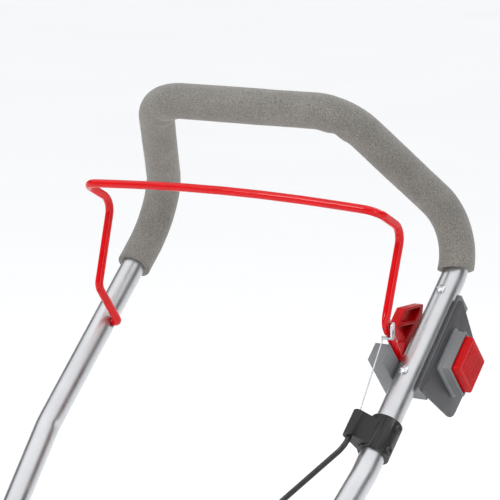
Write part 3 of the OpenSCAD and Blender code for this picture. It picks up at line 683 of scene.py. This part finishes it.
bar = []
for k in range(-3, 4):
    rise = bar_bow * (1 - k * k / 14)
    bar.append((on_handle(k * bar_step, front_bar[0] + 0.4 * rise, front_bar[1] + 0.9 * rise), 0))


def bail_foot(s):
    """Corners of one foot of the bail, from its end inside the tube."""
    return [(on_handle(s * (bail_half + pivot_reach), 0, 0), 0),
            (on_handle(s * bail_half, 0, 0), pivot_bend_r)]


bail_corners = bail_foot(-1) + bail_side(-1) + bar + bail_side(1)[::-1] + bail_foot(1)[::-1]
bail_path = even(route(bail_corners), 2 * M)
eye = on_handle(eye_x, eye_u, eye_n)
FLAT_REACH, FLAT_THINNER, FLAT_WIDER = 12 * M, 0.40, 0.80


def bail_section(i, a):
    """Round rod, hammered flat across X round the eye."""
    gap = (bail_path[i] - eye).length / FLAT_REACH
    flat = 0.0 if gap >= 1 else (1 + math.cos(math.pi * gap)) / 2
    flat = min(1.0, 1.5 * flat)
    x, y = bail_r * math.cos(a), bail_r * math.sin(a)
    return x * (1 - FLAT_THINNER * flat), y * (1 + FLAT_WIDER * flat)


BAIL_SIDE = n_dir.cross(x_dir)
tan_bail = frames(bail_path, BAIL_SIDE)


def flat_axis_section(i, a):
    """bail_section with its thin way turned to lie along X."""
    t, s, u = tan_bail[i]
    lean = math.atan2(x_dir.dot(u), x_dir.dot(s))
    x, y = bail_section(i, a - lean)
    return (x * math.cos(lean) - y * math.sin(lean), x * math.sin(lean) + y * math.cos(lean))


verts, faces = swept(bail_path, flat_axis_section, BAIL_SIDE, 32)
bail_rod = new_piece("bail_rod", verts, faces, "bail", "red_paint", ["bail"])


def cutter(name, centre, axis, radius, length):
    """A hidden round drill for a boolean hole."""
    side = axis.orthogonal().normalized()
    turns = [2 * math.pi * k / PIPE_SIDES for k in range(PIPE_SIDES)]
    ring = [side * math.cos(a) + axis.cross(side) * math.sin(a) for a in turns]
    verts = [centre + axis * end * length / 2 + radius * p for end in (-1, 1) for p in ring]
    faces = lattice(2, PIPE_SIDES)
    faces += [tuple(range(PIPE_SIDES - 1, -1, -1)), tuple(range(PIPE_SIDES, 2 * PIPE_SIDES))]
    return mesh_object(name, verts, faces)


def drill(obj, tools):
    """Cuts the tools out of obj for good, and clears them away."""
    bpy.context.view_layer.objects.active = obj
    for tool in tools:
        mod = obj.modifiers.new("hole", "BOOLEAN")
        mod.operation = "DIFFERENCE"
        mod.solver = "EXACT"
        mod.object = tool
        bpy.ops.object.modifier_apply(modifier=mod.name)
        bpy.data.objects.remove(tool)


drill(bail_rod, [cutter("eye_hole", eye, x_dir, 2.6 * M, 20 * M)])
drill(handle_pipe, [cutter("pin_hole", on_handle(s * (handle_half - 12), 0, 0), x_dir,
                           5.0 * M, 8 * M) for s in (-1, 1)])

# ---------------------------------------------------------------- cables
sheath_r = 2.7 * M
block_x, block_u, block_n = 166, -96, 23
wire_x, wire_r = 164, 0.75 * M
CABLE_STEP, CABLE_SIDES = 4 * M, 20
wire_top = on_handle(wire_x, eye_u - 10.2, eye_n - 8)
wire_low = on_handle(block_x, block_u + 8, block_n)
wire_path = even([wire_top, wire_low], CABLE_STEP)
verts, faces = swept(wire_path, round_section(wire_r), x_dir, 12)
wire = new_piece("wire", verts, faces, None, "zinc", ["pull_wire"])
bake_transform(wire)

cable_x, cable_n = 60, 18
clip = on_handle(cable_x, -540, cable_n)
upper_cable = route([(on_handle(block_x, block_u - 5, block_n), 0),
                     (on_handle(block_x, -121, block_n), 22), (on_handle(106, -184, -4), 60),
                     (on_handle(cable_x, -320, cable_n), 90), (clip, 0)])
gland_low, gland_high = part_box("cable_gland")
gland = Vector(((gland_low.x + gland_high.x) / 2, (gland_low.y + gland_high.y) / 2,
                gland_low.z + 4 * M))
low_bend = Vector((gland.x, gland.y, gland.z + 68.5 * M))
lower_cable = route([(clip, 0), (on_handle(cable_x, -640, cable_n), 60), (low_bend, 40),
                     (gland, 0)])
for name, path, node, bodies in (
        ("cable_top", upper_cable, "bowden_upper", ("upper_handle", "lower_handle")),
        ("cable_low", lower_cable, "bowden_lower", ("lower_handle", "deck"))):
    path = even(path, CABLE_STEP)
    verts, faces = swept(path, round_section(sheath_r), x_dir, CABLE_SIDES)
    piece = new_piece(name, verts, faces, None, "cable_black", [node])
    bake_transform(piece)

# ---------------------------------------------------------------- switch unit
button_u, button_v = 26, 33
plate_x = 200


def square_ring(x, half, radius, per_corner=6):
    """A rounded square round the button axis, at distance x from the middle."""
    out = []
    for quarter, (su, sn) in enumerate(((1, 1), (-1, 1), (-1, -1), (1, -1))):
        for k in range(per_corner + 1):
            a = math.radians(90 * quarter + 90 * k / per_corner)
            out.append(on_handle(x, button_u + su * (half - radius) + radius * math.cos(a),
                                 -button_v + sn * (half - radius) + radius * math.sin(a)))
    return out


def lofted(stations):
    """Verts and faces through rounded squares given as (x, half width, corner radius)."""
    verts = []
    for station in stations:
        verts += square_ring(*station)
    return verts, lattice(len(stations), len(verts) // len(stations))


# The bezel: a flange on the plate, a neck and a lip, then down its inside
verts, faces = lofted([
    (203.6, 20.6, 1.5), (203.6, 25.0, 2.4), (206.2, 25.0, 2.4), (206.9, 24.4, 2.2),
    (207.4, 23.2, 2.0), (214.2, 22.8, 2.0), (214.7, 23.3, 2.0), (216.5, 23.4, 2.0),
    (217.0, 23.0, 1.8), (217.0, 21.2, 1.4), (216.6, 20.8, 1.3), (204.6, 20.6, 1.3),
    (203.6, 20.6, 1.5)])
bezel = new_piece("bezel_frame", verts, faces, "upper_handle", "grey_plastic",
                  ["button_bezel"], smooth=False)
round_edges(bezel, 0.25 * M)

# The button: a skirt, a rounded rim and a sunk field
FIELD_X, FIELD_HALF = 224.6, 15.9
verts, faces = lofted([
    (212.3, 18.5, 1.0), (212.3, 20.0, 1.2), (223.6, 19.85, 1.6), (224.5, 19.5, 1.7),
    (225.0, 18.8, 1.8), (225.0, 16.6, 1.6), (FIELD_X, 16.2, 1.5),
    (FIELD_X, FIELD_HALF, 1.4)])
ring_size = len(square_ring(0, 10, 1))
faces.append(tuple(range(ring_size - 1, -1, -1)))
faces.append(tuple(range(len(verts) - ring_size, len(verts))))
# Fine grip ribs across the field inside the border; RIB_FROM and RIB_SHARE are shares of a pitch
RIBS, RIB_FROM, RIB_SHARE, RIB_EDGE, RIB_END = 13, 0.15, 0.55, 0.7, 0.9
rib_pitch = 2 * (FIELD_HALF - RIB_EDGE) / RIBS
n0, n1 = -button_v - FIELD_HALF + RIB_END, -button_v + FIELD_HALF - RIB_END
for k in range(RIBS):
    u0 = button_u - FIELD_HALF + RIB_EDGE + rib_pitch * (k + RIB_FROM)
    u1 = u0 + rib_pitch * RIB_SHARE
    base = len(verts)
    for x, inset in ((FIELD_X - 0.2, 0.0), (FIELD_X + 0.45, 0.2)):
        verts += [on_handle(x, u0 + inset, n0 + inset), on_handle(x, u1 - inset, n0 + inset),
                  on_handle(x, u1 - inset, n1 - inset), on_handle(x, u0 + inset, n1 - inset)]
    faces += [(base + a, base + (a + 1) % 4, base + 4 + (a + 1) % 4, base + 4 + a)
              for a in range(4)]
    faces.append((base + 4, base + 5, base + 6, base + 7))
new_piece("button_cap", verts, faces, "start_button", "red_plastic", ["start_button"],
          smooth=False)

SPRING_STEPS, SPRING_TURNS = 240, 3
spring_r, spring_length, spring_wire_r = 9, 7.0, 0.6 * M
spring_path = []
for i in range(SPRING_STEPS + 1):
    a = i / SPRING_STEPS * SPRING_TURNS * 2 * math.pi
    spring_path.append(on_handle(plate_x + 4.4 + spring_length * i / SPRING_STEPS,
                                 button_u + spring_r * math.cos(a),
                                 spring_r * math.sin(a) - button_v))
verts, faces = swept(spring_path, round_section(spring_wire_r), x_dir, 12)
spring = new_piece("return_spring", verts, faces, "upper_handle", "zinc", ["button_spring"])
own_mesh(spring)

# ---------------------------------------------------------------- reel blades
reel_axis = Vector(joints["reel_spin"]["pos_m"])
REEL_R, ROOT_R, REEL_LEN = 65 * M, 44 * M, 360 * M
BLADES, FIRST_BLADE, TWIST, BLADE_STEPS = 5, 20, 60, 72
# One blade's section as (radius, degrees of lean): the cutting edge, its ground land,
# and the two sides of the strip down to the root
BLADE_SECTION = ((REEL_R, 0), (REEL_R - 3 * M, 1.2), (ROOT_R, 5), (ROOT_R, 1.5),
                 (REEL_R - 1 * M, -2.2), (REEL_R, -1.6))
blade_corners = len(BLADE_SECTION)
verts, faces = [], []
for b in range(BLADES):
    base = len(verts)
    for i in range(BLADE_STEPS + 1):
        a = math.radians(FIRST_BLADE + b * 360 / BLADES + TWIST * i / BLADE_STEPS)
        x = -REEL_LEN / 2 + REEL_LEN * i / BLADE_STEPS
        for r, lean in BLADE_SECTION:
            t = a + math.radians(lean)
            verts.append(Vector((x, reel_axis.y + r * math.cos(t), reel_axis.z + r * math.sin(t))))
    faces += [tuple(base + v for v in (a, d, c, b))
              for a, b, c, d in lattice(BLADE_STEPS + 1, blade_corners)]
    faces.append(tuple(range(base, base + blade_corners)))
    faces.append(tuple(range(len(verts) - 1, len(verts) - 1 - blade_corners, -1)))
new_piece("blades", verts, faces, "reel", "blade_steel", ["reel_blades"], smooth=False)

# ---------------------------------------------------------------- lower tubes
lower_half, lower_low, lower_high, bolt_hole_r = 122, -836, -440, 4.05 * M
verts, faces = [], []
for s in (-1, 1):
    tube_line = even([on_handle(s * lower_half, lower_low, 0),
                      on_handle(s * lower_half, lower_high, 0)], 20 * M)
    v, f = pipe(tube_line, tube_r, tube_r - tube_wall, x_dir)
    faces += [tuple(i + len(verts) for i in face) for face in f]
    verts += v
lower_pipes = new_piece("lower_pipes", verts, faces, "lower_handle", "satin_tube",
                        ["lower_tubes"])
drill(lower_pipes, [cutter("bolt_hole", on_handle(s * lower_half, -fold_down, 0), x_dir,
                           bolt_hole_r, 40 * M) for s in (-1, 1)])

# ---------------------------------------------------------------- rear roller
roller_axis = Vector(joints["roller_spin"]["pos_m"])
ROLLER_HALF, ROLLER_R, ROLLER_HUB, ROLLER_BORE = 192, 25, 10, 5.08
GROOVE_END, GROOVE_PITCH = 168, 24
# One groove's outline as (distance from its middle, depth)
GROOVE = ((-1.9, 0), (-1.5, 0.5), (-1.4, 2), (1.4, 2), (1.5, 0.5), (1.9, 0))
outline = [(-ROLLER_HALF - 4, ROLLER_BORE), (-ROLLER_HALF - 4, ROLLER_HUB - 0.4),
           (-ROLLER_HALF - 3.6, ROLLER_HUB), (-ROLLER_HALF, ROLLER_HUB),
           (-ROLLER_HALF, ROLLER_R - 1), (-ROLLER_HALF + 1, ROLLER_R)]
for x in range(-GROOVE_END, GROOVE_END + 1, GROOVE_PITCH):
    outline += [(x + off, ROLLER_R - depth) for off, depth in GROOVE]
outline += [(-x, r) for x, r in outline[5::-1]]
TURNED_SIDES = 96
verts = [roller_axis + M * Vector((x, r * math.cos(2 * math.pi * k / TURNED_SIDES),
                                   r * math.sin(2 * math.pi * k / TURNED_SIDES)))
         for x, r in outline for k in range(TURNED_SIDES)]
faces = lattice(len(outline), TURNED_SIDES, closed=True)
roller_tube = new_piece("roller_tube", verts, faces, "roller", "black_plastic", ["rear_roller"])
roller_tube.data.set_sharp_from_angle(angle=math.radians(35))

# ---------------------------------------------------------------- carried-over CAD nodes
# Edge rounding in millimetres, by node
DEFAULT_BEVEL = 0.4
BEVEL_OF = {
    "cable_clamp": 1.0, "switch_plate": 1.0, "switch_housing": 0.9, "lock_wedge": 0.6,
    "fold_knob_left": 1.2, "fold_knob_right": 1.2, "knuckles": 1.5, "motor_housing": 1.2,
    "motor_cover": 1.4, "battery": 1.6, "hood": 0.6, "tyre_left": 0.8, "tyre_right": 0.8,
    "rim_left": 1.2, "rim_right": 1.2, "belt_cover": 0.8,
    "switch_screws": 0.25, "clamp_screws": 0.25, "bed_knife": 0.2,
    "brace_clip": 0.8, "battery_button": 0.6, "hub_caps": 0.8,
    "side_plate_left": 0.5, "side_plate_right": 0.5,
}
replaced = set()
for o in bpy.data.objects:
    replaced |= set(o.get("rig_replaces", []))
for name, obj in nodes.items():
    dress(obj, SLOT_OF[name])
    if name not in replaced:
        soften(obj, BEVEL_OF.get(name, DEFAULT_BEVEL) * M)

# ---------------------------------------------------------------- studio
FLOOR_HALF = 60
floor = mesh_object("floor", [(FLOOR_HALF * x, FLOOR_HALF * y, 0)
                              for x, y in ((-1, -1), (1, -1), (1, 1), (-1, 1))], [(0, 1, 2, 3)])
floor.data.materials.append(floor_paint())

world = bpy.data.worlds.new("world")
world.use_nodes = True
sky = world.node_tree
height = sky.nodes.new("ShaderNodeSeparateXYZ")
sky.links.new(sky.nodes.new("ShaderNodeTexCoord").outputs["Generated"], height.inputs[0])
bands = sky.nodes.new("ShaderNodeValToRGB")
# Brightness by height: pale at the horizon, a dark band for the metal to mirror, and a bright top
SKY = [(0.0, 0.78), (0.06, 0.76), (0.12, 0.15), (0.46, 0.12), (0.62, 1.0), (1.0, 1.05)]
while len(bands.color_ramp.elements) < len(SKY):
    bands.color_ramp.elements.new(0.5)
for e, (at, level) in zip(bands.color_ramp.elements, SKY):
    e.position = at
    e.color = (level * 0.975, level * 0.985, level, 1)
sky.links.new(height.outputs["Z"], bands.inputs["Fac"])
sky.links.new(bands.outputs["Color"], sky.nodes["Background"].inputs["Color"])
sky.nodes["Background"].inputs["Strength"].default_value = 1.25
bpy.context.scene.world = world
bpy.context.scene.view_settings.view_transform = "Standard"


LIGHT_AIM = Vector((0, 0.2, 0.7))


def softbox(name, place, wide, tall, power):
    """A rectangular area light at place, turned to LIGHT_AIM, of that many watts."""
    light = bpy.data.lights.new(name, "AREA")
    light.shape = "RECTANGLE"
    light.size, light.size_y = wide, tall
    light.energy = power
    obj = bpy.data.objects.new(name, light)
    bpy.context.collection.objects.link(obj)
    obj.location = place
    obj.rotation_euler = (LIGHT_AIM - Vector(place)).to_track_quat("-Z", "Y").to_euler()


softbox("key", (-1.3, -2.4, 2.9), 1.1, 1.1, 42)
softbox("fill", (2.6, -1.2, 1.6), 0.9, 1.6, 14)
softbox("rim", (0.6, 2.6, 2.6), 1.6, 1.0, 18)
